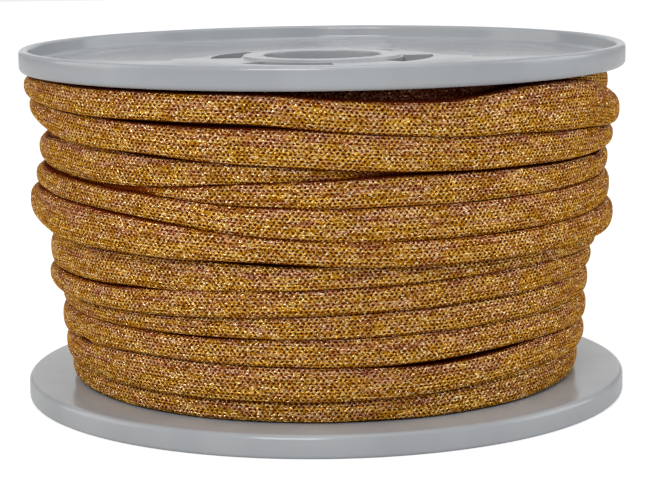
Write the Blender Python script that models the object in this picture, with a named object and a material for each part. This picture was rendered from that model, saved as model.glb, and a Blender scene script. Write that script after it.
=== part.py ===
"""Decorative knitted cord wound on a flanged plastic spool, standing on its lower rim.

Units are metres, +Z is up, and the origin is the centre of the base. Azimuths are in
degrees: 0 faces the front (-Y), and +90 is the right-hand side (+X).
"""

import math
from collections import namedtuple

import bmesh
import bpy
import numpy as np

MM = 0.001
TOUCH_GAP = 0.3 * MM

# Spool
FLANGE_RADIUS = 62.5 * MM
SPOOL_HEIGHT = 72.4 * MM
RIM_HEIGHT = 4.6 * MM
RIM_WALL = 1.8 * MM
RIM_ROUND = 0.4 * MM
WEB_THICKNESS = 1.5 * MM
RAISED_DISC_RADIUS = 31.0 * MM
RAISED_DISC_STEP = 0.3 * MM
BORE_RADIUS = 12.2 * MM
HUB_FACE_RADIUS = 16.4 * MM
HUB_FACE_STEP = 0.5 * MM
DRAFT = 0.3 * MM
TURNED_STEPS = 72
ROUND_STEPS = 2

# Arc slots in both flanges, beside the hub
SLOT_AZIMUTHS = (-110, -20, 70, 160)
SLOT_INNER_RADIUS = 16.9 * MM
SLOT_OUTER_RADIUS = 23.1 * MM
SLOT_HALF_ANGLE = 26

# Hollow barrel between the flanges, with ribs from the hub tube to its wall
BARREL_RADIUS = 26.0 * MM
BARREL_WALL = 1.6 * MM
HUB_TUBE_RADIUS = 15.4 * MM
RIB_HALF_ANGLE = 3
RIB_AZIMUTHS = (-65, 25, 115, 205)
ARC_STEPS = 8
CUTTER_OVERRUN = 2.0 * MM

# Winding
WINDING_TOP = SPOOL_HEIGHT - RIM_HEIGHT - TOUCH_GAP
WINDING_BOTTOM = RIM_HEIGHT + TOUCH_GAP
WINDING_BORE = BARREL_RADIUS + TOUCH_GAP
WINDING_STEPS = 60
GROOVE_DEPTH = 1.7 * MM
CREST_DROP_WHEN_COVERED = 2.2 * MM
FULL_TURN_WIDTH = 4.0 * MM

# Each turn of the outer layer, from the top down, in millimetres. top_* is the height of the
# groove above the turn at seven azimuths, and reach_* how far out its crest stands.
Turn = namedtuple(
    "Turn",
    "name top_m90 top_m40 top_m10 top_20 top_50 top_90 top_180"
    " reach_left reach_front reach_right reach_back",
)
GROOVE_AZIMUTHS = (-90, -40, -10, 20, 50, 90, 180)
REACH_AZIMUTHS = (-90, 0, 90, 180)
TURNS = (
    Turn("under_flange", 67.5, 67.5, 67.5, 67.5, 67.5, 67.5, 67.5, 59.7, 53.8, 59.1, 59.0),
    Turn("top", 66.8, 66.8, 66.5, 65.5, 66.8, 60.7, 64.5, 61.5, 60.9, 61.4, 60.6),
    Turn("second", 63.0, 61.7, 61.1, 58.8, 57.9, 55.6, 60.0, 60.4, 60.5, 59.9, 60.0),
    Turn("wedge", 57.2, 55.6, 54.1, 52.4, 51.9, 52.0, 53.8, 58.7, 59.1, 58.6, 59.5),
    Turn("below_wedge", 50.4, 48.9, 50.8, 51.7, 51.3, 51.4, 49.6, 58.9, 59.7, 58.9, 59.3),
    Turn("fifth", 49.1, 48.0, 46.3, 46.2, 46.2, 46.9, 45.6, 59.5, 59.7, 59.4, 59.0),
    Turn("proud_left", 44.7, 43.6, 40.7, 39.6, 40.0, 40.6, 40.6, 60.9, 59.7, 59.9, 59.2),
    Turn("seventh", 36.7, 36.4, 35.7, 34.8, 34.8, 34.2, 35.0, 57.1, 57.8, 56.6, 57.9),
    Turn("eighth", 28.3, 29.3, 30.5, 31.5, 32.1, 30.6, 29.9, 57.3, 57.5, 55.6, 57.0),
    Turn("ninth", 24.4, 24.5, 25.6, 26.5, 27.1, 26.8, 25.1, 54.8, 56.6, 55.0, 56.2),
    Turn("tenth", 20.6, 20.9, 21.1, 21.6, 21.9, 21.3, 20.3, 55.0, 55.9, 54.5, 55.3),
    Turn("eleventh", 14.2, 16.1, 15.8, 15.5, 16.6, 15.2, 15.3, 54.3, 55.3, 54.3, 54.6),
    Turn("bottom", 9.4, 8.9, 8.8, 9.5, 10.8, 10.3, 10.0, 53.1, 54.1, 52.8, 53.5),
)
# Places across a turn, from its upper groove (-1) to its lower one (1, the next turn's first row)
ACROSS_TURN = (-1.0, -0.62, 0.0, 0.62)


def clear_scene():
    """Remove every object of the startup scene."""
    for found in list(bpy.data.objects):
        bpy.data.objects.remove(found, do_unlink=True)


def make_material(name, colour, roughness, metallic=0.0):
    """A Principled material of one colour."""
    material = bpy.data.materials.new(name)
    material.use_nodes = True
    shader = material.node_tree.nodes["Principled BSDF"]
    shader.inputs["Base Color"].default_value = (*colour, 1.0)
    shader.inputs["Roughness"].default_value = roughness
    shader.inputs["Metallic"].default_value = metallic
    return material


def add_object(name, mesh, material):
    """Link a mesh to the scene as one named piece, shaded smooth but for its sharp edges."""
    piece = bpy.data.objects.new(name, mesh)
    bpy.context.scene.collection.objects.link(piece)
    mesh.materials.append(material)
    mesh.shade_smooth()
    mesh.set_sharp_from_angle(angle=math.radians(35))
    return piece


def front_azimuth_point(radius, azimuth, height):
    """The point at this radius, azimuth in degrees and height."""
    turned = math.radians(azimuth)
    return (radius * math.sin(turned), -radius * math.cos(turned), height)


def rounding(centre_radius, centre_height, start, end):
    """Profile points of a rim rounding, from one angle to another about its centre."""
    return [
        (
            centre_radius + RIM_ROUND * math.cos(math.radians(angle)),
            centre_height + RIM_ROUND * math.sin(math.radians(angle)),
        )
        for angle in np.linspace(start, end, ROUND_STEPS + 1)
    ]


def turned_ring(name, profile):
    """Spin a closed (radius, height) profile right round the Z axis."""
    mesh = bpy.data.meshes.new(name)
    shape = bmesh.new()
    corners = [shape.verts.new((radius, 0.0, height)) for radius, height in profile]
    edges = [
        shape.edges.new((corner, corners[(i + 1) % len(corners)]))
        for i, corner in enumerate(corners)
    ]
    bmesh.ops.spin(
        shape,
        geom=corners + edges,
        cent=(0, 0, 0),
        axis=(0, 0, 1),
        angle=math.tau,
        steps=TURNED_STEPS,
        use_merge=True,
    )
    bmesh.ops.recalc_face_normals(shape, faces=shape.faces)
    shape.to_mesh(mesh)
    shape.free()
    return mesh


def arc_block(name, inner, outer, first, last, low, high):
    """A cutter: the block between two radii, two azimuths and two heights."""
    shape = bmesh.new()
    azimuths = np.linspace(first, last, ARC_STEPS + 1)
    outline = [front_azimuth_point(outer, azimuth, low) for azimuth in azimuths]
    outline += [front_azimuth_point(inner, azimuth, low) for azimuth in azimuths[::-1]]
    floor = shape.faces.new([shape.verts.new(point) for point in outline])
    raised = bmesh.ops.extrude_face_region(shape, geom=[floor])
    lifted = [item for item in raised["geom"] if isinstance(item, bmesh.types.BMVert)]
    bmesh.ops.translate(shape, vec=(0, 0, high - low), verts=lifted)
    bmesh.ops.recalc_face_normals(shape, faces=shape.faces)
    mesh = bpy.data.meshes.new(name)
    shape.to_mesh(mesh)
    shape.free()
    cutter = bpy.data.objects.new(name, mesh)
    bpy.context.scene.collection.objects.link(cutter)
    cutter.hide_render = True
    cutter.display_type = "WIRE"
    return cutter


def cut(piece, cutter):
    """Take a cutter out of a piece."""
    modifier = piece.modifiers.new(cutter.name, "BOOLEAN")
    modifier.operation = "DIFFERENCE"
    modifier.solver = "EXACT"
    modifier.object = cutter


def flange_profile():
    """The lower flange's section: a flat upper face, and a rim and hub that stand down from its web."""
    floor = RIM_HEIGHT - WEB_THICKNESS
    raised = floor - RAISED_DISC_STEP
    hub = raised - HUB_FACE_STEP
    rim_inside = FLANGE_RADIUS - RIM_WALL
    profile = rounding(FLANGE_RADIUS - RIM_ROUND, RIM_ROUND, -90, 0)
    profile += rounding(FLANGE_RADIUS - RIM_ROUND, RIM_HEIGHT - RIM_ROUND, 0, 90)
    profile += [
        (BORE_RADIUS, RIM_HEIGHT),
        (BORE_RADIUS, hub),
        (HUB_FACE_RADIUS, hub),
        (HUB_FACE_RADIUS + DRAFT, raised),
        (RAISED_DISC_RADIUS, raised),
        (RAISED_DISC_RADIUS + DRAFT, floor),
        (rim_inside - DRAFT, floor),
    ]
    profile += rounding(rim_inside + RIM_ROUND, RIM_ROUND, 180, 270)
    return profile


def build_flange(name, upper, material):
    """One flange with its four arc slots; the upper one is the lower one upside down."""
    profile = flange_profile()
    if upper:
        profile = [(radius, SPOOL_HEIGHT - height) for radius, height in profile]
    flange = add_object(name, turned_ring(name, profile), material)
    low = (SPOOL_HEIGHT - RIM_HEIGHT if upper else 0.0) - CUTTER_OVERRUN
    high = low + RIM_HEIGHT + 2 * CUTTER_OVERRUN
    for azimuth in SLOT_AZIMUTHS:
        first, last = azimuth - SLOT_HALF_ANGLE, azimuth + SLOT_HALF_ANGLE
        cutter_name = f"{name}_slot_cutter_{azimuth}"
        cut(
            flange,
            arc_block(cutter_name, SLOT_INNER_RADIUS, SLOT_OUTER_RADIUS, first, last, low, high),
        )
    return flange


def build_barrel(material):
    """The barrel: its wall, the spindle tube and four ribs, open from end to end between them."""
    low = RIM_HEIGHT + TOUCH_GAP
    high = SPOOL_HEIGHT - RIM_HEIGHT - TOUCH_GAP
    profile = [(BARREL_RADIUS, low), (BARREL_RADIUS, high), (BORE_RADIUS, high), (BORE_RADIUS, low)]
    barrel = add_object("barrel", turned_ring("barrel", profile), material)
    inner, outer = HUB_TUBE_RADIUS, BARREL_RADIUS - BARREL_WALL
    for azimuth in RIB_AZIMUTHS:
        first, last = azimuth + RIB_HALF_ANGLE, azimuth + 90 - RIB_HALF_ANGLE
        cutter = arc_block(
            f"barrel_cutter_{azimuth}",
            inner,
            outer,
            first,
            last,
            low - CUTTER_OVERRUN,
            high + CUTTER_OVERRUN,
        )
        cut(barrel, cutter)
    return barrel


def smooth_round(stations, values, azimuths):
    """A smooth closed curve through values at stations (degrees): cubic pieces between stations,
    each with the slope of the chord between its two neighbours."""
    known = np.array(stations, float)
    known = np.concatenate([known - 360, known, known + 360])
    held = np.tile(np.array(values, float), 3)
    slopes = np.gradient(held, known)
    i = np.clip(np.searchsorted(known, azimuths, side="right") - 1, 0, len(known) - 2)
    span = known[i + 1] - known[i]
    t = (azimuths - known[i]) / span
    rise = t * t * (3 - 2 * t)
    return (
        held[i] * (1 - rise)
        + held[i + 1] * rise
        + slopes[i] * span * t * (1 - t) ** 2
        - slopes[i + 1] * span * t * t * (1 - t)
    )


def winding_surface(azimuths):
    """Heights and radii of the wound surface, a row for each place across each turn.

    Across a turn the section is part of an ellipse, from groove to crest to groove. A turn that
    its neighbours nearly cover is narrow, and its crest lies deeper.
    """
    grooves = [
        smooth_round(GROOVE_AZIMUTHS, turn[1 : 1 + len(GROOVE_AZIMUTHS)], azimuths) * MM
        for turn in TURNS
    ]
    grooves.append(np.full_like(azimuths, WINDING_BOTTOM))
    heights, radii = [], []
    for turn, upper, lower in zip(TURNS, grooves, grooves[1:]):
        crest = smooth_round(REACH_AZIMUTHS, turn[1 + len(GROOVE_AZIMUTHS) :], azimuths) * MM
        covered = 1 - np.clip((upper - lower) / FULL_TURN_WIDTH, 0, 1)
        crest = crest - CREST_DROP_WHEN_COVERED * covered**2
        for place in ACROSS_TURN:
            heights.append(upper + (lower - upper) * (place + 1) / 2)
            radii.append(crest - GROOVE_DEPTH * (1 - math.sqrt(1 - place * place)))
    heights.append(grooves[-1])
    radii.append(radii[-len(ACROSS_TURN)].copy())
    # The groove between two turns takes the mean of what the two give it
    for row in range(len(ACROSS_TURN), len(radii) - 1, len(ACROSS_TURN)):
        above = radii[row - len(ACROSS_TURN)]
        radii[row] = (above + radii[row]) / 2
    return np.array(heights), np.array(radii)


def build_winding(material):
    """The wound cord as one solid ring: every turn of its outer layer is a ridge round it."""
    azimuths = np.arange(WINDING_STEPS) * 360.0 / WINDING_STEPS - 180
    heights, radii = winding_surface(azimuths)
    inner = np.full((1, WINDING_STEPS), WINDING_BORE)
    heights = np.vstack([heights[:1], heights, heights[-1:]])
    radii = np.vstack([inner, radii, inner])
    turned = np.radians(azimuths)
    points = np.stack([radii * np.sin(turned), -radii * np.cos(turned), heights], axis=-1)
    rows, steps = radii.shape
    faces = []
    for row in range(rows):
        for step in range(steps):
            below, beside = (row + 1) % rows, (step + 1) % steps
            faces.append(
                (row * steps + step, below * steps + step, below * steps + beside, row * steps + beside)
            )
    mesh = bpy.data.meshes.new("cord_winding")
    mesh.from_pydata(points.reshape(-1, 3).tolist(), [], faces)
    shape = bmesh.new()
    shape.from_mesh(mesh)
    bmesh.ops.recalc_face_normals(shape, faces=shape.faces)
    shape.to_mesh(mesh)
    shape.free()
    return add_object("cord_winding", mesh, material)


def main():
    """Build the spool's three pieces and the winding between them."""
    clear_scene()
    grey_plastic = make_material("grey_plastic", (0.42, 0.45, 0.48), 0.4)
    gold_cord = make_material("gold_cord", (0.52, 0.31, 0.08), 0.45, 0.4)
    build_flange("lower_flange", False, grey_plastic)
    build_flange("upper_flange", True, grey_plastic)
    build_barrel(grey_plastic)
    build_winding(gold_cord)


main()
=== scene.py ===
"""Looks of a decorative knitted cord, wound in uneven turns on a flanged plastic spool.

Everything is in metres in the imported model's frame: +Z up, origin at the centre of the base.
Azimuths are in degrees: 0 faces the viewer (-Y), +90 is the viewer's right (+X).
"""

import logging
import math
from dataclasses import dataclass
from enum import Enum
from typing import NamedTuple

import bmesh
import bpy
import numpy as np
from mathutils import Matrix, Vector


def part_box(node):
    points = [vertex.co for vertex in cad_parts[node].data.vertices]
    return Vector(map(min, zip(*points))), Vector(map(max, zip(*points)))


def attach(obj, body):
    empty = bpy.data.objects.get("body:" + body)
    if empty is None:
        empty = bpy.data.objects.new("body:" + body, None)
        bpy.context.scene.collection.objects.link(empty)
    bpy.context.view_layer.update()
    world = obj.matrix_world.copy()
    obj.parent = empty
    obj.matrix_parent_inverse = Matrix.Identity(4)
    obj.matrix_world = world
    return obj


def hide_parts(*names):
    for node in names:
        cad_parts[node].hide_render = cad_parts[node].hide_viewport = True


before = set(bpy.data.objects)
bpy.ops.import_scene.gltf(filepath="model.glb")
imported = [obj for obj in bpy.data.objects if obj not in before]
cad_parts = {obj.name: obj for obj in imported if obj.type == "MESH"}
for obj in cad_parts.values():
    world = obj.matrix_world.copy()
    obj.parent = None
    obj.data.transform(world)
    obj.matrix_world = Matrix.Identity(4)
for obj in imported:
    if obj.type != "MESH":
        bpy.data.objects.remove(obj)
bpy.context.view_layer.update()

MM = 0.001
ROOT = "root"
STITCH_UV = "stitches"
# Attribute names: painted shade in grooves and recesses, and distance past a turn's border, which places the painted
# crease line.
PAINTED_SHADE_ATTRIBUTE = "painted_shade"
EDGE = "edge_mm"
log = logging.getLogger("spool_of_cord")


class Slot(Enum):
    """The record's material slots."""

    CORD = "cord"
    SPOOL = "spool"


class Turn(NamedTuple):
    """One turn of the outer layer, in millimetres: the groove above it at seven azimuths, and
    how far out its crest stands on four sides."""

    name: str
    top_m90: float
    top_m40: float
    top_m10: float
    top_20: float
    top_50: float
    top_90: float
    top_180: float
    reach_left: float
    reach_front: float
    reach_right: float
    reach_back: float

    @property
    def groove(self) -> tuple[float, ...]:
        """Heights of the groove above the turn, one for each of GROOVE_AZIMUTHS."""
        return self[1:8]

    @property
    def reach(self) -> tuple[float, ...]:
        """Radii of the turn's crest, one for each of REACH_AZIMUTHS."""
        return self[8:]


class Corner(NamedTuple):
    """A corner of a turned section: its radius, its height, and the radius of its round."""

    radius: float
    height: float
    round: float = 0.0


class Gap(NamedTuple):
    """A place where two neighbouring turns stand apart: the turn below it, the azimuth of its
    middle, how many degrees it runs to either side, and its width in millimetres, which is
    negative where they are pressed into each other."""

    below: int
    azimuth: float
    spread: float
    width: float


GROOVE_AZIMUTHS = (-90, -40, -10, 20, 50, 90, 180)
REACH_AZIMUTHS = (-90, 0, 90, 180)
TURNS = (
    Turn("under_flange", 67.5, 67.5, 67.5, 67.5, 67.5, 67.5, 67.5, 59.7, 53.8, 59.1, 59.0),
    Turn("top", 67.1, 67.2, 66.9, 65.6, 67.1, 60.7, 64.5, 61.5, 60.9, 61.4, 60.6),
    Turn("second", 63.0, 61.7, 61.1, 58.8, 57.9, 55.6, 60.0, 60.4, 60.5, 59.9, 60.0),
    Turn("wedge", 57.2, 55.6, 54.1, 52.4, 51.9, 52.0, 53.8, 58.7, 59.1, 58.6, 59.5),
    Turn("below_wedge", 50.4, 48.9, 50.8, 51.7, 51.3, 51.4, 49.6, 58.9, 59.7, 58.9, 59.3),
    Turn("fifth", 49.1, 48.0, 46.3, 46.2, 46.2, 46.9, 45.6, 59.5, 59.7, 59.4, 59.0),
    Turn("proud_left", 44.7, 43.6, 40.7, 39.6, 40.0, 40.6, 40.6, 60.9, 59.7, 59.9, 59.2),
    Turn("seventh", 36.7, 36.4, 35.7, 34.8, 34.8, 34.2, 35.0, 57.1, 57.8, 56.6, 57.9),
    Turn("eighth", 28.3, 29.3, 30.5, 31.5, 32.1, 30.6, 29.9, 57.3, 57.5, 55.6, 57.0),
    Turn("ninth", 24.4, 24.5, 25.6, 26.5, 27.1, 26.8, 25.1, 54.8, 56.6, 55.0, 56.2),
    Turn("tenth", 20.6, 20.9, 21.1, 21.6, 21.9, 21.3, 20.3, 55.0, 55.9, 54.5, 55.3),
    Turn("eleventh", 14.2, 16.1, 15.8, 15.5, 16.6, 15.2, 15.3, 54.3, 55.3, 54.3, 54.6),
    Turn("bottom", 9.4, 8.9, 8.8, 9.5, 10.8, 10.3, 10.0, 53.1, 54.1, 52.8, 53.5),
)
GAPS = (
    Gap(1, 14, 26, 0.9),
    Gap(1, 64, 16, -0.6),
    Gap(2, -22, 30, 1.1),
    Gap(3, -33, 14, 0.6),
    Gap(3, -83, 27, 4.6),
    Gap(4, 70, 6, 1.2),
    Gap(6, -42, 12, 0.4),
    Gap(7, -11, 16, 1.0),
    Gap(7, -83, 25, 3.6),
    Gap(7, 90, 20, 1.4),
    Gap(8, -45, 18, 0.4),
    Gap(10, -25, 22, 0.4),
    Gap(11, 26, 28, 1.2),
    Gap(11, -62, 5, 0.8),
)


class Graph:
    """Adds nodes to one shader node tree, and links values into them."""

    def __init__(self, tree: bpy.types.NodeTree) -> None:
        """Hold the tree that nodes are added to.

        Args:
            tree: A material's node tree or a shader node group.
        """
        self.tree = tree

    def node(self, kind: str, inputs: dict, **settings) -> bpy.types.Node:
        """Add a node, set its properties and feed its inputs.

        Args:
            kind: The node's type name.
            inputs: Input name or number to a value or an output socket.
            settings: Properties of the node itself.

        Returns:
            The new node.
        """
        made = self.tree.nodes.new(kind)
        for name, value in settings.items():
            setattr(made, name, value)
        for name, value in inputs.items():
            if isinstance(value, bpy.types.NodeSocket):
                self.tree.links.new(value, made.inputs[name])
            else:
                made.inputs[name].default_value = value
        return made

    def math(self, operation: str, *values, clamp: bool = False) -> bpy.types.NodeSocket:
        """Add a Math node on up to three values and return its output."""
        made = self.node("ShaderNodeMath", dict(enumerate(values)), operation=operation)
        made.use_clamp = clamp
        return made.outputs[0]

    def combine(self, x, y, z=0.0) -> bpy.types.NodeSocket:
        """Join three values into a vector."""
        return self.node("ShaderNodeCombineXYZ", {"X": x, "Y": y, "Z": z}).outputs[0]

    def ramp(self, value, low: float, high: float, start=0.0, end=1.0) -> bpy.types.NodeSocket:
        """Map a value smoothly from low..high to start..end."""
        made = self.node(
            "ShaderNodeMapRange",
            {"Value": value, "From Min": low, "From Max": high, "To Min": start, "To Max": end},
            interpolation_type="SMOOTHSTEP",
        )
        return made.outputs["Result"]

    def noise(self, vector, scale: float, detail: float = 2.0) -> bpy.types.NodeSocket:
        """Add a Noise texture and return its value, from 0 to 1."""
        inputs = {"Vector": vector, "Scale": scale, "Detail": detail}
        return self.node("ShaderNodeTexNoise", inputs).outputs["Fac"]

    def mix(self, factor, first, second) -> bpy.types.NodeSocket:
        """Mix two colours."""
        made = self.tree.nodes.new("ShaderNodeMix")
        made.data_type = "RGBA"
        for number, value in ((0, factor), (6, first), (7, second)):
            if isinstance(value, bpy.types.NodeSocket):
                self.tree.links.new(value, made.inputs[number])
            else:
                made.inputs[number].default_value = value
        return made.outputs[2]


def srgb(red: int, green: int, blue: int) -> tuple[float, float, float, float]:
    """Turn a display colour of 0 to 255 into Blender's linear colour."""
    def linear(level: int) -> float:
        """One channel, by the sRGB curve."""
        share = level / 255
        return share / 12.92 if share <= 0.04045 else ((share + 0.055) / 1.055) ** 2.4

    return (linear(red), linear(green), linear(blue), 1.0)


@dataclass(frozen=True)
class KnitPattern:
    """Node group of a knitted tube seen close: small holes in a lattice of diamonds, and between
    them slanted fibres with flakes, which tilt the normal and of which a few get painted glints.

    It reads a UV in stitches along the cord and wales across it. Each wale has two half rows of
    holes, half a stitch apart, and the fibres of one lean the other way than the next one's.
    """

    name: str = "knit_stitches"
    slack: float = 0.85
    row_share: float = 0.625
    hole_middle: float = 0.12
    hole_edge: float = 0.3
    hole_share: float = 0.85

    def group(self) -> bpy.types.NodeTree:
        """Return the group, built at its first use.

        Returns:
            A shader node group with the input UV and the outputs Height, Hole, Fibre, Speck,
            Glint, Clump and Ply, each from 0 to 1, and Flake, a small turn of the normal.
        """
        known = bpy.data.node_groups.get(self.name)
        if known:
            return known
        tree = bpy.data.node_groups.new(self.name, "ShaderNodeTree")
        tree.interface.new_socket("UV", in_out="INPUT", socket_type="NodeSocketVector")
        for output in ("Height", "Hole", "Fibre", "Speck", "PaintedGlint", "ClumpAndUpperShade", "Ply"):
            tree.interface.new_socket(output, in_out="OUTPUT", socket_type="NodeSocketFloat")
        tree.interface.new_socket("Flake", in_out="OUTPUT", socket_type="NodeSocketVector")
        graph = Graph(tree)
        source = tree.nodes.new("NodeGroupInput")
        result = tree.nodes.new("NodeGroupOutput")
        parts = graph.node("ShaderNodeSeparateXYZ", {0: source.outputs["UV"]})
        along, across = parts.outputs["X"], parts.outputs["Y"]
        loose = graph.combine(
            graph.math("MULTIPLY", along, 0.8), graph.math("MULTIPLY", across, 1.7), 9.0
        )
        slack = graph.math("SUBTRACT", graph.noise(loose, 1.0, 1.0), 0.5)
        along = graph.math("ADD", along, graph.math("MULTIPLY", slack, self.slack))
        doubled = graph.math("MULTIPLY", across, 2.0)
        row = graph.math("FLOOR", doubled)
        place = graph.math("FRACT", doubled)
        odd = graph.math("FLOORED_MODULO", row, 2.0)
        shifted = graph.math("ADD", along, graph.math("MULTIPLY", odd, 0.5))
        nearest = graph.math("ROUND", shifted)
        beside = graph.math("MULTIPLY", graph.math("SUBTRACT", shifted, nearest), self.hole_share)
        above = graph.math("MULTIPLY", graph.math("SUBTRACT", place, 0.5), self.row_share)
        apart = graph.node(
            "ShaderNodeVectorMath", {0: graph.combine(beside, above)}, operation="LENGTH"
        ).outputs["Value"]
        # A fibre runs up to the right in one half row and down to the right in the next
        turned = graph.math("MULTIPLY", graph.math("SUBTRACT", odd, 0.5), place)
        leaning = graph.math("ADD", along, graph.math("MULTIPLY", turned, 1.2))
        fibre_place = graph.combine(
            graph.math("MULTIPLY", leaning, 3.1), graph.math("MULTIPLY", across, 7.3), 7.0
        )
        fibre = graph.ramp(graph.noise(fibre_place, 1.0, 1.0), 0.3, 0.7)
        chance = graph.node(
            "ShaderNodeTexWhiteNoise", {"Vector": graph.combine(nearest, row, 0.5)}
        ).outputs["Value"]
        uneven = graph.math("MULTIPLY", graph.math("SUBTRACT", fibre, 0.5), 0.16)
        reach = graph.math("ADD", apart, uneven)
        dot = graph.ramp(reach, self.hole_edge, self.hole_middle, 0.0, 1.0)
        hole = graph.math("MULTIPLY", dot, graph.ramp(chance, 0.05, 0.65, 0.15, 1.0))
        height = graph.math(
            "ADD", graph.ramp(apart, 0.05, 0.42, 0.0, 0.7), graph.math("MULTIPLY", fibre, 0.3)
        )
        flake_row = graph.math("FLOOR", graph.math("MULTIPLY", across, 5.9))
        flake_place = graph.math("MULTIPLY", leaning, 3.3)
        flake_place = graph.math("ADD", flake_place, graph.math("MULTIPLY", flake_row, 0.43))
        cell = graph.combine(graph.math("FLOOR", flake_place), flake_row, 1.5)
        chances = graph.node("ShaderNodeTexWhiteNoise", {"Vector": cell}).outputs
        spark = chances["Value"]
        flake = graph.node(
            "ShaderNodeVectorMath", {0: chances["Color"], 1: (0.5, 0.5, 0.5)}, operation="SUBTRACT"
        ).outputs["Vector"]
        # Painted glints: a few flake cells get a bright value that the cord's material adds to its tone, painting
        # them cream in the colour.
        painted_glint = graph.ramp(spark, 0.78, 0.92)
        clump_place = graph.combine(
            graph.math("MULTIPLY", along, 0.16), graph.math("MULTIPLY", across, 0.8), 3.0
        )
        # Painted reflection and shade: the upper side of each turn is pushed towards the darker mauve yarn and the
        # lower side towards olive.
        painted_upper_shade = graph.math("MULTIPLY", across, 0.045)
        single = graph.node("ShaderNodeSeparateXYZ", {0: flake}).outputs["X"]
        blend = graph.math("ADD", graph.noise(clump_place, 1.0, 3.0), painted_upper_shade)
        blend = graph.math("ADD", blend, graph.math("MULTIPLY", single, 0.2))
        clump_and_upper_shade = graph.ramp(blend, 0.38, 0.78)
        ply_place = graph.combine(
            graph.math("MULTIPLY", along, 0.1), graph.math("MULTIPLY", across, 1.9), 5.0
        )
        ply = graph.ramp(graph.noise(ply_place, 1.0, 1.0), 0.36, 0.64)
        for output, value in (
            ("Height", height),
            ("Hole", hole),
            ("Fibre", fibre),
            ("Speck", spark),
            ("PaintedGlint", painted_glint),
            ("ClumpAndUpperShade", clump_and_upper_shade),
            ("Ply", ply),
            ("Flake", flake),
        ):
            tree.links.new(value, result.inputs[output])
        return tree


class Tone(NamedTuple):
    """A step of the cord's tone scale: its place from 0 to 1, and its colour on the two yarns."""

    place: float
    olive: tuple[float, ...]
    mauve: tuple[float, ...]


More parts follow.
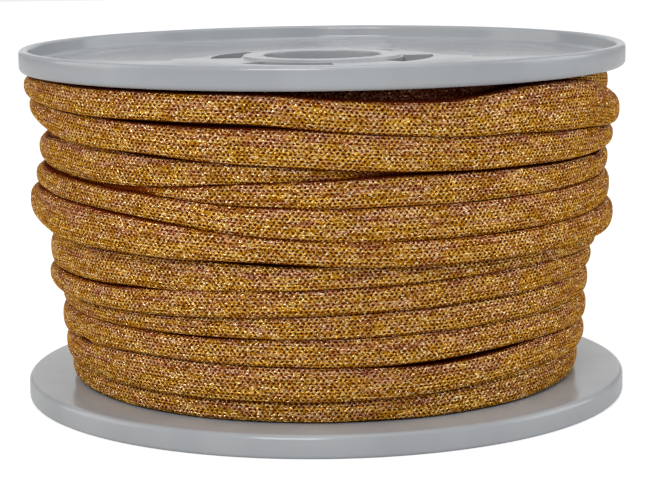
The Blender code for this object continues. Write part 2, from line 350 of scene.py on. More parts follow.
@dataclass(frozen=True)
class GoldKnit:
    """Finish of the cord: metallic yarn in two mixes, olive gold and mauve brown.

    Both mixes run from red brown in the holes and in the painted shade through gold to cream at
    the painted glints. Mauve lies more on each turn's upper side and olive on its lower side: painted light.
    """

    name: str = "gold_knit"
    # The tone scale: its dark end colours the holes and the painted shade, its cream top the painted glints.
    tones: tuple[Tone, ...] = (
        Tone(0.0, srgb(80, 22, 2), srgb(80, 20, 6)),
        Tone(0.2, srgb(118, 54, 0), srgb(111, 40, 19)),
        Tone(0.4, srgb(184, 122, 15), srgb(164, 95, 64)),
        Tone(0.6, srgb(230, 177, 63), srgb(211, 150, 115)),
        Tone(0.8, srgb(250, 209, 120), srgb(246, 202, 152)),
        Tone(1.0, srgb(255, 231, 168), srgb(255, 228, 182)),
    )
    edge_tint: tuple[float, ...] = srgb(232, 190, 130)
    relief: float = 0.25 * MM
    metal: float = 0.85
    sheen: float = 0.04
    glitter: float = 0.75
    least_rough: float = 0.12
    most_rough: float = 0.5

    def scale(self, graph: Graph, tone: bpy.types.NodeSocket, column: str) -> bpy.types.NodeSocket:
        """Add a colour ramp through one column of the tones.

        Args:
            graph: The material's graph.
            tone: Place on the scale, from 0 to 1.
            column: The yarn, by its name in Tone.

        Returns:
            The colour.
        """
        made = graph.node("ShaderNodeValToRGB", {"Fac": tone})
        steps = made.color_ramp.elements
        for number, step in enumerate(self.tones):
            held = steps[number] if number < len(steps) else steps.new(step.place)
            held.position = step.place
            held.color = getattr(step, column)
        return made.outputs["Color"]

    def material(self) -> bpy.types.Material:
        """Return the cord's material.

        Returns:
            A material that reads the stitches UV map and the depth and edge attributes.
        """
        made = bpy.data.materials.new(self.name)
        made.use_nodes = True
        graph = Graph(made.node_tree)
        shader = made.node_tree.nodes["Principled BSDF"]
        uv = graph.node("ShaderNodeUVMap", {}, uv_map=STITCH_UV).outputs["UV"]
        knit = graph.node("ShaderNodeGroup", {}, node_tree=KnitPattern().group())
        made.node_tree.links.new(uv, knit.inputs["UV"])
        out = knit.outputs
        # Painted shade: this attribute darkens the tone in the cord's grooves and narrow recesses.
        painted_shade = graph.node("ShaderNodeAttribute", {}, attribute_name=PAINTED_SHADE_ATTRIBUTE).outputs["Fac"]
        edge = graph.node("ShaderNodeAttribute", {}, attribute_name=EDGE).outputs["Fac"]
        # Painted shade: a dark line along each turn's border with the next, made ragged by the fibres, standing for
        # the shade in the creases.
        ragged = graph.math("MULTIPLY_ADD", graph.math("SUBTRACT", 0.5, out["Fibre"]), 0.24, edge)
        line = graph.ramp(ragged, -0.3, -0.04, 0.0, 0.95)
        # The knit's height also lightens the tone: painted highlight on the stitches' crowns and painted shade as
        # they slope into the holes.
        body = graph.math("MULTIPLY_ADD", out["Height"], 0.22, -0.06)
        # The glints' share paints highlights into the tone; fibre, speck and ply add random tone.
        for output, share in (("Fibre", 0.27), ("Speck", 0.3), ("Ply", 0.2), ("PaintedGlint", 0.5)):
            body = graph.math("ADD", body, graph.math("MULTIPLY", out[output], share))
        shade = graph.math("MAXIMUM", painted_shade, line)
        bare = graph.math("SUBTRACT", 1.0, graph.math("MAXIMUM", out["Hole"], shade))
        tone = graph.math("MULTIPLY", body, bare, clamp=True)
        olive, mauve = self.scale(graph, tone, "olive"), self.scale(graph, tone, "mauve")
        links = made.node_tree.links
        # The clump mix picks olive or mauve yarn at random, and also carries the painted tint on each turn's upper
        # side.
        links.new(graph.mix(out["ClumpAndUpperShade"], olive, mauve), shader.inputs["Base Color"])
        rough = graph.ramp(tone, 0.2, 0.9, self.most_rough, self.least_rough)
        links.new(rough, shader.inputs["Roughness"])
        shader.inputs["Specular Tint"].default_value = self.edge_tint
        shader.inputs["Specular IOR Level"].default_value = self.sheen
        links.new(graph.ramp(tone, 0.0, 0.24, 0.0, self.metal), shader.inputs["Metallic"])
        bump = graph.node(
            "ShaderNodeBump", {"Strength": 0.9, "Distance": self.relief, "Height": out["Height"]}
        )
        turned = graph.node(
            "ShaderNodeVectorMath", {0: out["Flake"], "Scale": self.glitter}, operation="SCALE"
        ).outputs["Vector"]
        leaning = graph.node(
            "ShaderNodeVectorMath", {0: bump.outputs["Normal"], 1: turned}, operation="ADD"
        ).outputs["Vector"]
        normal = graph.node("ShaderNodeVectorMath", {0: leaning}, operation="NORMALIZE")
        links.new(normal.outputs["Vector"], shader.inputs["Normal"])
        return made


@dataclass(frozen=True)
class GreyPlastic:
    """Finish of the spool: light grey moulded plastic with faint flow marks and handling marks."""

    name: str = "grey_plastic"
    light: tuple = srgb(165, 168, 171)
    dark: tuple = srgb(156, 159, 163)
    flow_scale: float = 55.0
    grain_scale: float = 700.0

    def material(self) -> bpy.types.Material:
        """Return the spool's material.

        Returns:
            A material that reads Object coordinates.
        """
        made = bpy.data.materials.new(self.name)
        made.use_nodes = True
        graph = Graph(made.node_tree)
        shader = made.node_tree.nodes["Principled BSDF"]
        place = graph.node("ShaderNodeTexCoord", {}).outputs["Object"]
        parts = graph.node("ShaderNodeSeparateXYZ", {0: place}).outputs
        upright = graph.combine(parts["X"], parts["Y"], graph.math("MULTIPLY", parts["Z"], 0.15))
        flow = graph.noise(upright, self.flow_scale, 2.0)
        grain = graph.noise(place, self.grain_scale, 2.0)
        tone = graph.ramp(flow, 0.3, 0.7)
        links = made.node_tree.links
        links.new(graph.mix(tone, self.dark, self.light), shader.inputs["Base Color"])
        worn = graph.math("ADD", graph.math("MULTIPLY", flow, 0.5), graph.math("MULTIPLY", grain, 0.5))
        links.new(graph.ramp(worn, 0.3, 0.7, 0.13, 0.2), shader.inputs["Roughness"])
        return made


@dataclass(frozen=True)
class PaleFloor:
    """Finish of the studio floor: matt and pale, brightened to white where the camera sees it."""

    name: str = "pale_floor"
    colour: tuple = srgb(226, 226, 226)
    white: tuple = (1.0, 1.0, 1.0, 1.0)
    glow: float = 0.5

    def material(self) -> bpy.types.Material:
        """Return the floor's material."""
        made = bpy.data.materials.new(self.name)
        made.use_nodes = True
        graph = Graph(made.node_tree)
        shader = made.node_tree.nodes["Principled BSDF"]
        shader.inputs["Base Color"].default_value = self.colour
        shader.inputs["Roughness"].default_value = 0.8
        shader.inputs["Emission Color"].default_value = self.white
        seen = graph.node("ShaderNodeLightPath", {}).outputs["Is Camera Ray"]
        glow = graph.math("MULTIPLY", seen, self.glow)
        made.node_tree.links.new(glow, shader.inputs["Emission Strength"])
        return made


def link_piece(name: str, mesh: bpy.types.Mesh, finish: bpy.types.Material) -> bpy.types.Object:
    """Put a mesh in the scene as one smooth piece at the origin.

    Args:
        name: The piece's name.
        mesh: Its mesh, with its place in its points.
        finish: Its material.

    Returns:
        The new object.
    """
    piece = bpy.data.objects.new(name, mesh)
    bpy.context.scene.collection.objects.link(piece)
    mesh.materials.append(finish)
    mesh.shade_smooth()
    return piece


def ride_root(piece: bpy.types.Object, slot: Slot, *nodes: str) -> bpy.types.Object:
    """Give a piece to the object's one body, and hide the solids it stands for."""
    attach(piece, ROOT)
    if nodes:
        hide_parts(*nodes)
    log.info("%s: %d faces", piece.name, len(piece.data.polygons))
    return piece


def around(radius: np.ndarray, azimuth: np.ndarray, height: np.ndarray) -> np.ndarray:
    """Points at these radii, azimuths in degrees and heights: x = r sin a, y = -r cos a."""
    turned = np.radians(azimuth)
    return np.stack(
        np.broadcast_arrays(radius * np.sin(turned), -radius * np.cos(turned), height), axis=-1
    )


def grid_quads(rows: int, columns: int, wrap_rows: bool, wrap_columns: bool) -> np.ndarray:
    """Corner numbers of a grid's quads, column by column and then row by row.

    Args:
        rows: Rows of points.
        columns: Points in a row.
        wrap_rows: Whether the last row joins the first.
        wrap_columns: Whether the last point of a row joins its first.

    Returns:
        An array of shape (rows of quads, quads in a row, 4).
    """
    row = np.arange(rows if wrap_rows else rows - 1)[:, None]
    column = np.arange(columns if wrap_columns else columns - 1)[None, :]
    above, beside = (row + 1) % rows, (column + 1) % columns
    return np.stack(
        [
            row * columns + column,
            row * columns + beside,
            above * columns + beside,
            above * columns + column,
        ],
        axis=-1,
    )


@dataclass
class Spool:
    """The spool's two flanges and its barrel, turned profiles with arc slots beside the hub."""

    flange_radius: float
    height: float
    rim_height: float = 4.6 * MM
    rim_wall: float = 1.8 * MM
    web_thickness: float = 1.5 * MM
    disc_radius: float = 31.0 * MM
    disc_step: float = 0.3 * MM
    bore_radius: float = 12.2 * MM
    hub_radius: float = 16.4 * MM
    hub_step: float = 0.5 * MM
    draft: float = 0.3 * MM
    slot_inner: float = 16.9 * MM
    slot_outer: float = 23.1 * MM
    slot_azimuths: tuple = (-110, -20, 70, 160)
    slot_half_angle: int = 26
    barrel_radius: float = 26.0 * MM
    barrel_wall: float = 1.6 * MM
    tube_radius: float = 15.4 * MM
    rib_azimuths: tuple = (-65, 25, 115, 205)
    rib_half_angle: int = 3
    gap: float = 0.3 * MM
    lip_round: float = 0.8 * MM
    edge_round: float = 1.1 * MM
    floor_round: float = 0.9 * MM
    hub_round: float = 0.35 * MM
    arc_steps: int = 5
    edge: float = 0.3 * MM
    edge_steps: int = 2
    steps: int = 360

    def flange_profile(self) -> list[Corner]:
        """Corners of the lower flange's section, from its outer lower corner."""
        floor = self.rim_height - self.web_thickness
        raised = floor - self.disc_step
        hub = raised - self.hub_step
        inside = self.flange_radius - self.rim_wall
        return [
            Corner(self.flange_radius, 0.0, self.lip_round),
            Corner(self.flange_radius, self.rim_height, self.edge_round),
            Corner(self.slot_outer, self.rim_height),
            Corner(self.slot_inner, self.rim_height),
            Corner(self.bore_radius, self.rim_height),
            Corner(self.bore_radius, hub, self.hub_round),
            Corner(self.hub_radius, hub, self.hub_round),
            Corner(self.hub_radius + self.draft, raised),
            Corner(self.slot_inner, raised),
            Corner(self.slot_outer, raised),
            Corner(self.disc_radius, raised),
            Corner(self.disc_radius + self.draft, floor),
            Corner(inside - self.draft, floor, self.floor_round),
            Corner(inside, 0.0, self.lip_round),
        ]

    def barrel_profile(self) -> list[Corner]:
        """Corners of the barrel's section, with rows where its hollows start and end."""
        low, high = self.rim_height + self.gap, self.height - self.rim_height - self.gap
        inner, outer = self.tube_radius, self.barrel_radius - self.barrel_wall
        return [
            Corner(self.barrel_radius, low),
            Corner(self.barrel_radius, high),
            Corner(outer, high),
            Corner(inner, high),
            Corner(self.bore_radius, high),
            Corner(self.bore_radius, low),
            Corner(inner, low),
            Corner(outer, low),
        ]

    def rounded(self, corners: list[Corner]) -> tuple[np.ndarray, list[int]]:
        """Replace each corner that has a round by an arc that touches both of its sides.

        Args:
            corners: Corners of a closed section.

        Returns:
            Points (radius, height) of the section, and each corner's last point.
        """
        points, last = [], []
        places = [np.array(corner[:2]) for corner in corners]
        for number, corner in enumerate(corners):
            here = places[number]
            before = places[number - 1] - here
            after = places[(number + 1) % len(corners)] - here
            before, after = before / np.linalg.norm(before), after / np.linalg.norm(after)
            if corner.round == 0:
                points.append(here)
            else:
                half = math.acos(np.clip(before @ after, -1, 1)) / 2
                middle = (before + after) / np.linalg.norm(before + after)
                centre = here + middle * corner.round / math.sin(half)
                start = here + before * corner.round / math.tan(half) - centre
                stop = here + after * corner.round / math.tan(half) - centre
                sweep = math.pi - 2 * half
                for share in np.linspace(0, 1, self.arc_steps + 1):
                    first = math.sin((1 - share) * sweep) / math.sin(sweep)
                    second = math.sin(share * sweep) / math.sin(sweep)
                    points.append(centre + start * first + stop * second)
            last.append(len(points) - 1)
        return np.array(points), last

    def slotted_ring(
        self, profile: list[Corner], strips: tuple[int, int], open_at: np.ndarray
    ) -> bpy.types.Mesh:
        """Turn a closed profile round Z and open it right through between two of its strips.

        A point is (r sin a, -r cos a, z) for each profile corner (r, z) and azimuth a. Where
        open_at holds, the quads of both strips are left out, and walls join their borders.

        Args:
            profile: Corners of the section.
            strips: First corner of the upper strip and of the lower one.
            open_at: For each step round the ring, whether a slot is there.

        Returns:
            A closed mesh with its faces outwards.
        """
        corners, last = self.rounded(profile)
        azimuths = np.arange(self.steps) * 360.0 / self.steps
        points = around(corners[:, :1], azimuths[None, :], corners[:, 1:])
        quads = grid_quads(len(corners), self.steps, True, True)
        keep = np.ones(quads.shape[:2], bool)
        upper, lower = last[strips[0]], last[strips[1]]
        keep[[upper, lower]] = ~open_at
        step = np.arange(self.steps)
        beside = (step + 1) % self.steps
        walls = []
        for first, second in ((upper, lower + 1), (upper + 1, lower)):
            long_wall = np.stack(
                [
                    first * self.steps + step,
                    first * self.steps + beside,
                    second * self.steps + beside,
                    second * self.steps + step,
                ],
                axis=-1,
            )
            walls.append(long_wall[open_at])
        ends = step[open_at != np.roll(open_at, 1)]
        rows = (upper, upper + 1, lower, lower + 1)
        walls.append(np.stack([row * self.steps + ends for row in rows], axis=-1))
        faces = np.concatenate([quads[keep], *walls])
        mesh = bpy.data.meshes.new("ring")
        mesh.from_pydata(points.reshape(-1, 3), [], faces.tolist())
        shape = bmesh.new()
        shape.from_mesh(mesh)
        bmesh.ops.recalc_face_normals(shape, faces=shape.faces)
        shape.to_mesh(mesh)
        shape.free()
        return mesh

    def soften(self, piece: bpy.types.Object) -> None:
        """Round a moulded piece's corners with a narrow bevel."""
        bevel = piece.modifiers.new("moulded_edge", "BEVEL")
        bevel.width = self.edge
        bevel.segments = self.edge_steps
        bevel.limit_method = "ANGLE"
        bevel.angle_limit = math.radians(50)
        bevel.harden_normals = True

    def open_steps(self, spans: list[tuple[int, int]]) -> np.ndarray:
        """Which steps round the ring lie in any of these spans of azimuth, in whole degrees."""
        azimuths = np.arange(self.steps) * 360 // self.steps
        held = [((azimuths - first) % 360) < (last - first) for first, last in spans]
        return np.any(held, axis=0)

    def build(self, finish: bpy.types.Material) -> None:
        """Build both flanges and the barrel, each in place of its solid.

        Args:
            finish: The plastic.
        """
        half = self.slot_half_angle
        slots = self.open_steps([(a - half, a + half) for a in self.slot_azimuths])
        profile = self.flange_profile()
        flipped = [corner._replace(height=self.height - corner.height) for corner in profile]
        for name, corners in (("lower_flange", profile), ("upper_flange", flipped)):
            mesh = self.slotted_ring(corners, (2, 8), slots)
            flange = link_piece(f"{name}_moulding", mesh, finish)
            self.soften(flange)
            ride_root(flange, Slot.SPOOL, name)
        rib = self.rib_half_angle
        hollows = self.open_steps([(a + rib, a + 90 - rib) for a in self.rib_azimuths])
        mesh = self.slotted_ring(self.barrel_profile(), (2, 6), hollows)
        barrel = link_piece("barrel_tube", mesh, finish)
        self.soften(barrel)
        ride_root(barrel, Slot.SPOOL, "barrel")


@dataclass
class Winding:
    """The outer layer of turns, as one cord that climbs a turn with each time round the spool."""

    top: float
    bottom: float
    bore: float
    stitch: float = 1.0 * MM
    samples: int = 2
    flat_depth: float = 2.4 * MM
    least_depth: float = 3.0 * MM
    most_depth: float = 5.2 * MM
    round_power: float = 2.2
    flat_power: float = 5.5
    overlap: float = 0.035
    closing: float = 0.05
    # How much the painted crease line thins where the turns press less.
    line_fade: float = 0.14
    wale: float = 1.25 * MM
    rows_per_wale: int = 4
    shown_wales: float = 4.25
    hidden_rows: int = 5
    relief: float = 0.16 * MM
    full_width: float = 4.0 * MM
    drop_when_covered: float = 2.2 * MM
    unevenness: float = 0.12 * MM
    seed: int = 11
    run_samples: int = 2400
    tucked_end: float = 85.0

    def station_curve(self, stations: tuple, rows: list, travel: np.ndarray) -> np.ndarray:
        """A smooth curve along the whole cord through the values that each turn has at stations.

        Between two stations the value follows a cubic, with the slope at each station that of
        the chord between its neighbours.

        Args:
            stations: Azimuths of a turn's values.
            rows: A tuple of values for each turn, in the order that the cord takes them.
            travel: Degrees travelled round the spool, from -180 where the cord starts.

        Returns:
            The value at each place in travel, in metres.
        """
        known = np.concatenate([np.array(stations) + 360.0 * i for i in range(len(rows))])
        held = np.concatenate(rows) * MM
        slopes = np.gradient(held, known)
        i = np.clip(np.searchsorted(known, travel, side="right") - 1, 0, len(known) - 2)
        span = known[i + 1] - known[i]
        t = np.clip((travel - known[i]) / span, 0, 1)
        rise = t * t * (3 - 2 * t)
        bend = slopes[i] * t * (1 - t) ** 2 - slopes[i + 1] * t * t * (1 - t)
        return held[i] * (1 - rise) + held[i + 1] * rise + span * bend

    def wander(self, travel: np.ndarray, salt: int) -> np.ndarray:
        """A small smooth unevenness along the cord: a sum of six sine waves of random phase."""
        draw = np.random.default_rng(self.seed + salt)
        waves = draw.uniform(3.0, 17.0, 6)[:, None]
        phases = draw.uniform(0, math.tau, 6)[:, None]
        return np.sin(np.radians(travel) * waves + phases).sum(axis=0) * self.unevenness / 3

    def course(self) -> dict[str, np.ndarray]:
        """Work out where the cord lies, from its start under the bottom turn to its end on top.

        Returns:
            At each sample: stitches counted from the start, travel in degrees, heights of the
            upper and lower edge, crest radius, and how hard the turns press together.
        """
        order = list(range(len(TURNS) - 1, -1, -1))
        floor = (self.bottom / MM,) * len(GROOVE_AZIMUTHS)
        roof = TURNS[0].groove
        upper_rows = [TURNS[i].groove for i in order] + [roof]
        lower_rows = [floor] + upper_rows[:-1]
        reach_rows = [TURNS[i].reach for i in order] + [TURNS[0].reach]
        start, total = -180.0, 360.0 * len(TURNS) + self.tucked_end
        fine = start + np.linspace(0, total, 40 * int(total / 10))
        wide = self.station_curve(REACH_AZIMUTHS, reach_rows, fine)
        walked = np.append(0, np.cumsum(np.radians(np.diff(fine)) * (wide[1:] + wide[:-1]) / 2))
        stitch = np.arange(int(walked[-1] / self.stitch * self.samples)) / self.samples
        travel = np.interp(stitch * self.stitch, walked, fine)
        upper = self.station_curve(GROOVE_AZIMUTHS, upper_rows, travel)
        lower = self.station_curve(GROOVE_AZIMUTHS, lower_rows, travel)
        crest = self.station_curve(REACH_AZIMUTHS, reach_rows, travel)
        turn = len(TURNS) - 1 - np.floor((travel + 180) / 360)
        azimuth = (travel + 180) % 360 - 180
        for gap in GAPS:
            reach = np.clip((azimuth - gap.azimuth) / gap.spread, -1, 1)
            opening = gap.width * MM / 2 * (1 - reach**2) ** 2
            upper = upper - np.where(turn == gap.below, opening, 0)
            lower = lower + np.where(turn == gap.below - 1, opening, 0)
        covered = 1 - np.clip((upper - lower) / self.full_width, 0, 1)
        crest = crest - self.drop_when_covered * covered**2 + self.wander(travel, 1)
        shift = self.wander(travel, 2) * 0.5
        press = np.clip(0.75 + self.wander(travel * 0.4, 3) / self.unevenness * 0.6, 0.35, 1)
        return {
            "stitch": stitch,
            "travel": travel,
            "upper": upper + shift,
            "lower": lower + shift,
            "crest": crest,
            "press": press,
        }

    def wale_places(self) -> tuple[np.ndarray, int]:
        """Places round the section, in wales from the crest, upwards.

        Returns:
            Places on the side that shows, and how many more rows close the hidden side.
        """
        count = int(self.shown_wales * self.rows_per_wale)
        return np.arange(-count, count + 1) / self.rows_per_wale, self.hidden_rows

    def relief_at(self, along: np.ndarray, across: np.ndarray) -> np.ndarray:
        """Height of the knit, 0 in a hole and 1 between holes, on the lattice of the
        knit_stitches group: one less the product of a cosine along and a sine across."""
        row = np.floor(across * 2)
        beside = 0.5 + 0.5 * np.cos((along + row / 2) * math.tau)
        return 1 - beside * np.sin((across * 2 - row) * math.pi)

    def tube(self, name: str, course: dict[str, np.ndarray], finish: bpy.types.Material):
        """Make one run of the cord as a closed knitted tube.

        The section is a superellipse, |x/a|^n + |y/b|^n = 1, as wide as the room between its
        neighbours. Its points stand a fixed distance apart round it, so the stitches keep their
        size.

        Args:
            name: The piece's name.
            course: The cord's course, cut to this run.
            finish: The cord's material.

        Returns:
            The new piece.
        """
        shown, hidden = self.wale_places()
        half_width = np.maximum((course["upper"] - course["lower"]) / 2, 0.5 * MM)[:, None]
        middle = (course["upper"] + course["lower"]) / 2
        pressed = np.clip(np.cos(np.radians(course["travel"])), 0, 1)[:, None]
        border, press = half_width, course["press"][:, None]
        half_width = border * (1 + (self.overlap + self.closing * (1 - press)) * pressed)
        full = np.clip(half_width, self.least_depth, self.most_depth)
        half_depth = full + (self.flat_depth - full) * pressed
        power = self.round_power + (self.flat_power - self.round_power) * pressed
        angles = np.linspace(0, math.pi, 65)
        out = half_depth * np.sign(np.cos(angles)) * np.abs(np.cos(angles)) ** (2 / power)
        across = half_width * np.abs(np.sin(angles)) ** (2 / power)
        steps = np.hypot(np.diff(across, axis=1), np.diff(out, axis=1))
        walked = np.concatenate([np.zeros((len(across), 1)), np.cumsum(steps, axis=1)], axis=1)
        half_round = walked[:, -1]
        fit = np.minimum(1, 0.86 * half_round / (shown[-1] * self.wale))
        near = shown[None, :] * self.wale * fit[:, None]
        back = np.linspace(0, 1, hidden + 2)[1:-1]
        rest = half_round[:, None] - near[:, -1:]
        far = near[:, -1:] + 2 * rest * back
        place = np.concatenate([near, far], axis=1)
        signed = np.where(place > half_round[:, None], place - 2 * half_round[:, None], place)
        target = np.abs(signed)
        found = np.clip((walked[:, None, :] <= target[:, :, None]).sum(axis=2) - 1, 0, 63)
        line = np.arange(len(across))[:, None]
        start, stop = walked[line, found], walked[line, found + 1]
        share = (target - start) / np.maximum(stop - start, 1e-9)
        radial = out[line, found] * (1 - share) + out[line, found + 1] * share
        lateral = across[line, found] * (1 - share) + across[line, found + 1] * share
        lateral = lateral * np.sign(signed)
        push_r = np.sign(radial) * (np.abs(radial) / half_depth) ** (power - 1) / half_depth
        push_z = np.sign(lateral) * (np.abs(lateral) / half_width) ** (power - 1) / half_width
        length = np.maximum(np.hypot(push_r, push_z), 1e-9)
        wales = np.concatenate([shown, shown[-1] + (14 - 2 * shown[-1]) * back])
        stitch = course["stitch"][:, None]
        relief = self.relief * (self.relief_at(stitch, wales[None, :]) - 0.5)
        relief[:, len(shown) :] = 0
        radius = course["crest"][:, None] - half_depth + radial + relief * push_r / length
        height = middle[:, None] + lateral + relief * push_z / length
        points = around(radius, course["travel"][:, None], height).transpose(1, 0, 2)
        # Painted shade: points deep in a groove, and turns squeezed into narrow strips such as the one under the
        # upper flange, get a darkness from 0 to 1 that the material paints into the colour.
        sunk = np.clip((half_depth - radial) / half_depth, 0, 1)
        painted_strip_shade = np.clip((2.2 * MM - 2 * half_width) / (1.4 * MM), 0, 0.75)
        painted_shade = np.maximum(np.clip((sunk - 0.6) / 0.4, 0, 1) ** 1.5 * press, painted_strip_shade)
        # Painted shade along the creases between turns: the distance past the border with the next turn places a dark
        # painted line, thinner where the turns press less, and over the hidden back side.
        edge = (np.abs(lateral) - border) / MM - self.line_fade * (1 - press)
        edge = np.where(radial < 0, 1.0, edge)
        shades = {PAINTED_SHADE_ATTRIBUTE: painted_shade, EDGE: edge}
        return self.closed_tube(name, points, shades, course["stitch"], wales, finish)

    def closed_tube(
        self,
        name: str,
        points: np.ndarray,
        shades: dict[str, np.ndarray],
        stitch: np.ndarray,
        wales: np.ndarray,
        finish: bpy.types.Material,
    ) -> bpy.types.Object:
        """Join a tube's rows of points, close its ends and write its stitches UV.

        Args:
            name: The piece's name.
            points: Points in rows round the section, each row along the cord.
            shades: Attributes of the points: painted shade, from 0 to 1, darkest deep in the grooves and on narrow
                strips,
            and how far past the border with the next turn, in millimetres, where the crease line is painted.
            stitch: Stitches counted along the cord.
            wales: Each row's place round the section, in wales.
            finish: The cord's material.

        Returns:
            The new piece.
        """
        rows, columns = points.shape[:2]
        quads = grid_quads(rows, columns, True, False).reshape(-1, 4)
        corners = points.reshape(-1, 3)
        ends = [points[:, 0].mean(axis=0), points[:, -1].mean(axis=0)]
        corners = np.concatenate([corners, ends])
        ring = np.arange(rows)
        after = (ring + 1) % rows
        first, last = rows * columns, rows * columns + 1
        cap_start = np.stack([np.full(rows, first), ring * columns, after * columns], axis=-1)
        cap_end = np.stack(
            [np.full(rows, last), after * columns + columns - 1, ring * columns + columns - 1], axis=-1
        )
        mesh = bpy.data.meshes.new(name)
        mesh.from_pydata(corners, [], quads.tolist() + cap_start.tolist() + cap_end.tolist())
        u = np.tile(stitch, rows)
        v = np.append(np.repeat(wales, columns), [0.0, 0.0])
        u = np.append(u, [stitch[0], stitch[-1]])
        loops = np.empty(len(mesh.loops), np.int32)
        mesh.loops.foreach_get("vertex_index", loops)
        uv = np.stack([u[loops], v[loops]], axis=-1)
        wrap = np.arange(columns - 1) + (rows - 1) * (columns - 1)
        for corner in (2, 3):
            uv[wrap * 4 + corner, 1] = 14 + wales[0]
        layer = mesh.uv_layers.new(name=STITCH_UV)
        layer.uv.foreach_set("vector", uv.astype(np.float32).ravel())
        # The end caps' middles get 1.0: fully painted shade, and past the border, so the crease line is painted there
        # too.
        for attribute, values in shades.items():
            shade = mesh.attributes.new(attribute, "FLOAT", "POINT")
            shade.data.foreach_set("value", np.append(values.T.ravel(), [1.0, 1.0]).astype(np.float32))
        piece = link_piece(name, mesh, finish)
        mesh.set_sharp_from_angle(angle=math.radians(80))
        return piece

    def under_layer(self, course: dict[str, np.ndarray], finish: bpy.types.Material):
        """The layer beneath, which shows only in the gaps: a ridged ring round the barrel.

        Its radius is the outer layer's, drawn in smoothly, plus a sine ridge for each turn.

        Args:
            course: The whole cord's course.
            finish: The cord's material.

        Returns:
            The new piece.
        """
        columns, rows = 180, 53
        azimuth = np.arange(columns) * 360.0 / columns
        height = np.linspace(self.bottom, self.top, rows)
        mean = np.polyfit((course["upper"] + course["lower"]) / 2, course["crest"], 3)
        turns = (height - self.bottom) / (self.top - self.bottom) * len(TURNS)
        ridge = np.abs(np.sin(turns[:, None] * math.pi + np.radians(azimuth[None, :]) / 2))
        radius = np.polyval(mean, height)[:, None] - 3.6 * MM + ridge * 0.8 * MM
        inner = np.full((1, columns), self.bore)
        radius = np.concatenate([inner, radius, inner])
        height = np.concatenate([height[:1], height, height[-1:]])
        points = around(radius, azimuth[None, :], height[:, None])
        quads = grid_quads(rows + 2, columns, True, True)
        mesh = bpy.data.meshes.new("under_layer")
        mesh.from_pydata(points.reshape(-1, 3), [], quads.reshape(-1, 4).tolist())
        u = np.array([0, 1, 1, 0])[None, None, :] + np.arange(columns)[None, :, None]
        per_column = math.tau * float(np.mean(course["crest"])) / self.stitch / columns
        u = np.broadcast_to(u * per_column, quads.shape)
        v = np.broadcast_to(
            (np.array([0, 0, 1, 1])[None, None, :] + np.arange(rows + 2)[:, None, None])
            * (self.top - self.bottom) / self.wale / rows,
            quads.shape,
        )
        layer = mesh.uv_layers.new(name=STITCH_UV)
        layer.uv.foreach_set("vector", np.stack([u, v], axis=-1).astype(np.float32).ravel())
        # Painted shade: the layer beneath, seen only in the gaps, is painted evenly dark, and gets no crease line.
        for attribute, value in ((PAINTED_SHADE_ATTRIBUTE, 0.45), (EDGE, -1.0)):
            shade = mesh.attributes.new(attribute, "FLOAT", "POINT")
            shade.data.foreach_set("value", np.full(len(mesh.vertices), value, np.float32))
        piece = link_piece("under_layer", mesh, finish)
        mesh.set_sharp_from_angle(angle=math.radians(60))
        return piece

    def build(self, finish: bpy.types.Material) -> None:
        """Build the layer beneath and the cord's runs, in place of the winding's solid.

        Args:
            finish: The cord's material.
        """
        course = self.course()
        count = len(course["travel"]) - 1
        runs = math.ceil(count / self.run_samples)
        ends = [count * number // runs for number in range(runs + 1)]
        for number, (start, stop) in enumerate(zip(ends, ends[1:]), 1):
            cut = {key: values[start : stop + 1] for key, values in course.items()}
            ride_root(self.tube(f"cord_run_{number}", cut, finish), Slot.CORD, "cord_winding")
        ride_root(self.under_layer(course, finish), Slot.CORD, "cord_winding")
        log.info("cord in the outer layer: %.2f m", course["stitch"][-1] * self.stitch)


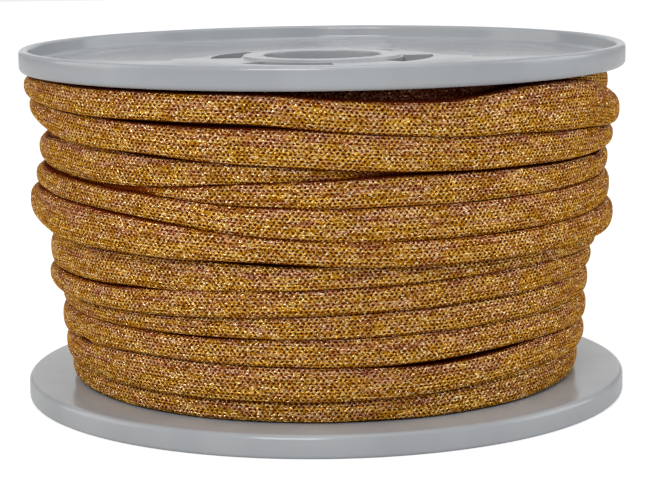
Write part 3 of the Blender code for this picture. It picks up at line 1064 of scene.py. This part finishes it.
@dataclass(frozen=True)
class Studio:
    """Pale floor, soft light and the camera at the photograph's angle."""

    image_width: int = 658
    focal_pixels: float = 2105.3
    sensor: float = 36.0
    distance: float = 438.3 * MM
    eye_height: float = 101.5 * MM
    pitch: float = 9.123
    roll: float = 0.744
    yaw: float = -0.124
    floor_size: float = 12.0

    def camera(self) -> None:
        """Stand the camera before the spool, looking down at it, level but for a small roll."""
        pitch, roll, yaw = (math.radians(a) for a in (self.pitch, self.roll, self.yaw))
        right = np.array([math.cos(yaw), math.sin(yaw), 0.0])
        forward = np.array(
            [-math.sin(yaw) * math.cos(pitch), math.cos(yaw) * math.cos(pitch), -math.sin(pitch)]
        )
        upward = np.cross(right, forward)
        rolled_right = right * math.cos(roll) - upward * math.sin(roll)
        rolled_up = right * math.sin(roll) + upward * math.cos(roll)
        view = bpy.data.cameras.new("photo_view")
        view.sensor_width = self.sensor
        view.lens = self.focal_pixels * self.sensor / self.image_width
        view.clip_start = 0.01
        camera = bpy.data.objects.new("photo_view", view)
        bpy.context.scene.collection.objects.link(camera)
        place = np.eye(4)
        place[:3, 0], place[:3, 1], place[:3, 2] = rolled_right, rolled_up, -forward
        place[:3, 3] = (0.0, -self.distance, self.eye_height)
        camera.matrix_world = Matrix(place.tolist())
        bpy.context.scene.camera = camera

    def soft_box(
        self,
        name: str,
        place: tuple[float, float, float],
        size: float,
        watts: float,
        colour: tuple[float, float, float] = (1.0, 1.0, 1.0),
    ) -> None:
        """Hang a square soft light that faces the spool's middle.

        Args:
            name: The light's name.
            place: Where it hangs.
            size: Its side.
            watts: Its power.
            colour: Its colour.
        """
        lamp = bpy.data.lights.new(name, "AREA")
        lamp.size = size
        lamp.energy = watts
        lamp.color = colour
        light = bpy.data.objects.new(name, lamp)
        bpy.context.scene.collection.objects.link(light)
        toward = np.array([0.0, 0.0, 0.035]) - np.array(place)
        light.location = place
        flat = math.hypot(toward[0], toward[1])
        light.rotation_euler = (
            math.atan2(flat, -toward[2]),
            0.0,
            math.atan2(toward[1], toward[0]) - math.pi / 2,
        )

    def build(self) -> None:
        """Make the floor, the lights, the pale surroundings and the camera."""
        mesh = bpy.data.meshes.new("floor")
        half = self.floor_size / 2
        mesh.from_pydata([(-half, -half, 0), (half, -half, 0), (half, half, 0), (-half, half, 0)], [], [(0, 1, 2, 3)])
        floor = link_piece("floor", mesh, PaleFloor().material())
        world = bpy.data.worlds.new("pale_room")
        world.use_nodes = True
        background = world.node_tree.nodes["Background"]
        background.inputs["Color"].default_value = (0.97, 0.985, 1.0, 1.0)
        background.inputs["Strength"].default_value = 0.38
        bpy.context.scene.world = world
        self.soft_box("front_light", (-0.3, -1.1, 0.8), 0.6, 9.0)
        self.soft_box("top_light", (0.1, -0.1, 1.25), 0.7, 3.5)
        self.soft_box("left_panel", (-1.3, 0.15, 0.55), 1.0, 4.8, (1.0, 0.96, 0.89))
        self.soft_box("right_panel", (1.3, 0.15, 0.55), 1.0, 6.0)
        self.soft_box("back_panel", (0.0, 1.6, 0.6), 1.3, 2.2)
        self.camera()
        bpy.context.scene.view_settings.view_transform = "Standard"


def main() -> None:
    """Build the spool, the winding and the studio, in that order."""
    logging.basicConfig(level=logging.INFO, format="%(name)s %(message)s")
    low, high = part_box("upper_flange")
    spool = Spool(flange_radius=high.x, height=high.z)
    spool.build(GreyPlastic().material())
    inner_low, inner_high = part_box("cord_winding")
    winding = Winding(top=inner_high.z, bottom=inner_low.z, bore=spool.barrel_radius + spool.gap)
    winding.build(GoldKnit().material())
    Studio().build()


if __name__ == "__main__":
    main()
